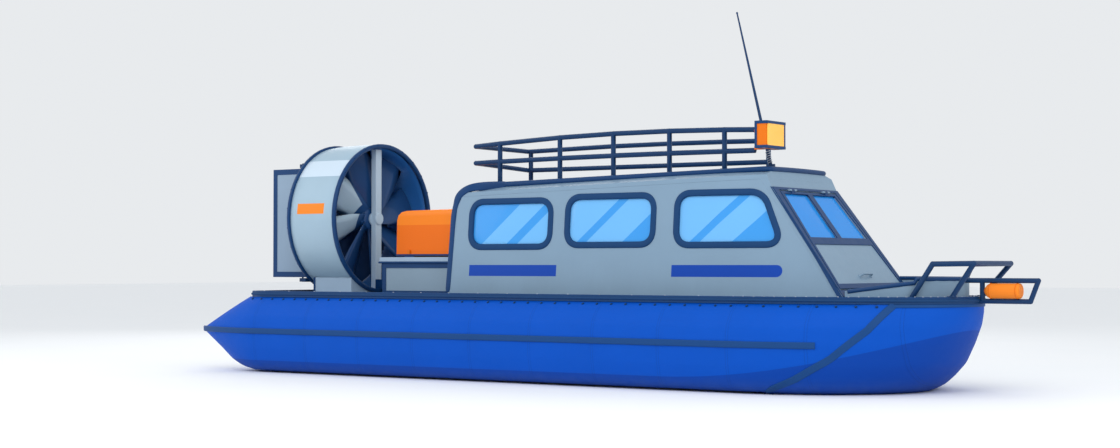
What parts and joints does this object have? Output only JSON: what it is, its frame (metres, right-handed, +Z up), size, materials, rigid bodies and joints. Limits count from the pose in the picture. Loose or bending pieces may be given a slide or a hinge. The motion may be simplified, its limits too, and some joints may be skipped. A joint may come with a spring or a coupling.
{
  "type": "cabin hovercraft",
  "caption": "Cabin hovercraft with inflated side skirts, a ducted fan with air rudders, roof rack, bow hatch and bow handrails.",
  "frame": {"origin": "middle of the overall length and beam, on the ground under the wear skids", "axes": "+X to the bow, +Y to port, +Z up"},
  "size_m": [11.5646, 3.236, 4.4141],
  "materials": {
    "skirt_blue": "coated fabric, satin",
    "cabin_grey": "satin paint",
    "deck_grey": "non-slip paint",
    "duct_grey": "satin paint",
    "navy_trim": "satin paint",
    "tube_navy": "powder coat",
    "hood_orange": "gloss gel coat",
    "fender_orange": "satin",
    "lamp_amber": "clear gloss",
    "window_blue": "tinted glass",
    "skid_plastic": "worn polyethylene",
    "blade_grey": "satin composite",
    "rudder_grey": "painted",
    "engine_iron": "rough cast",
    "console_plastic": "textured",
    "wheel_rubber": "grip",
    "seat_cloth": "woven"
  },
  "bodies": {
    "hull": {"skirt_starboard": "skirt_blue", "skirt_port": "skirt_blue", "skirt_bow": "skirt_blue", "skirt_stern": "skirt_blue", "wear_skid_starboard": "skid_plastic", "wear_skid_port": "skid_plastic", "hull_platform": "deck_grey", "deck": "deck_grey", "gunwale_rail": "navy_trim", "cabin_side_starboard": "cabin_grey", "cabin_side_port": "cabin_grey", "cabin_roof": "cabin_grey", "cabin_rear_wall": "cabin_grey", "cabin_front_frame": "cabin_grey", "side_glass_rear_starboard": "window_blue", "side_glass_rear_port": "window_blue", "side_glass_middle_starboard": "window_blue", "side_glass_middle_port": "window_blue", "side_glass_front_starboard": "window_blue", "side_glass_front_port": "window_blue", "foredeck_locker": "cabin_grey", "bow_rail": "tube_navy", "bow_loop": "tube_navy", "bow_fender": "fender_orange", "fan_duct": "duct_grey", "duct_front_ring": "navy_trim", "duct_rear_ring": "navy_trim", "fan_pylon": "cabin_grey", "rudder_beam_top": "tube_navy", "rudder_beam_bottom": "tube_navy", "engine_casing": "cabin_grey", "engine_ledge": "duct_grey", "shaft_tunnel": "navy_trim", "engine_block": "engine_iron", "roof_rack": "tube_navy", "antenna_mast": "tube_navy", "lamp_housing": "hood_orange", "lamp_lens": "lamp_amber", "helm_console": "console_plastic", "helm_seat": "seat_cloth", "bench_starboard": "seat_cloth", "bench_port": "seat_cloth"},
    "fan": {"fan_rotor": "blade_grey"},
    "air_rudder_middle": {"rudder_middle": "rudder_grey"},
    "air_rudder_starboard": {"rudder_starboard": "rudder_grey"},
    "air_rudder_port": {"rudder_port": "rudder_grey"},
    "helm": {"helm_wheel": "wheel_rubber"},
    "hatch": {"bow_hatch": "cabin_grey", "hatch_glass_starboard": "window_blue", "hatch_glass_port": "window_blue"},
    "hood": {"engine_hood": "hood_orange"}
  },
  "joints": [
    {"name": "fan_spin", "type": "hinge", "parent": "hull", "child": "fan", "pos_m": [-3.83234, 0, 2.06], "axis": [1, 0, 0], "continuous": true},
    {"name": "rudder_middle_turn", "type": "hinge", "parent": "hull", "child": "air_rudder_middle", "pos_m": [-4.61234, 0, 2], "axis": [0, 0, 1], "range_deg": [-30, 30]},
    {"name": "rudder_starboard_turn", "type": "hinge", "parent": "hull", "child": "air_rudder_starboard", "pos_m": [-4.61234, -0.45, 2], "axis": [0, 0, 1], "range_deg": [-30, 30]},
    {"name": "rudder_port_turn", "type": "hinge", "parent": "hull", "child": "air_rudder_port", "pos_m": [-4.61234, 0.45, 2], "axis": [0, 0, 1], "range_deg": [-30, 30]},
    {"name": "helm_turn", "type": "hinge", "parent": "hull", "child": "helm", "pos_m": [2.63766, -0.37, 1.255], "axis": [-0.9063, 0, 0.4226], "range_deg": [-120, 120]},
    {"name": "bow_hatch_lift", "type": "hinge", "parent": "hull", "child": "hatch", "pos_m": [2.97966, 0, 2.292], "axis": [0, -1, 0], "range_deg": [0, 65]},
    {"name": "engine_hood_lift", "type": "hinge", "parent": "hull", "child": "hood", "pos_m": [-2.29734, 0.444, 1.547], "axis": [-1, 0, 0], "range_deg": [0, 75]}
  ],
  "couplings": [
    {"joint": "rudder_starboard_turn", "follows": "rudder_middle_turn", "ratio": 1},
    {"joint": "rudder_port_turn", "follows": "rudder_middle_turn", "ratio": 1},
    {"joint": "helm_turn", "follows": "rudder_middle_turn", "ratio": -4}
  ]
}
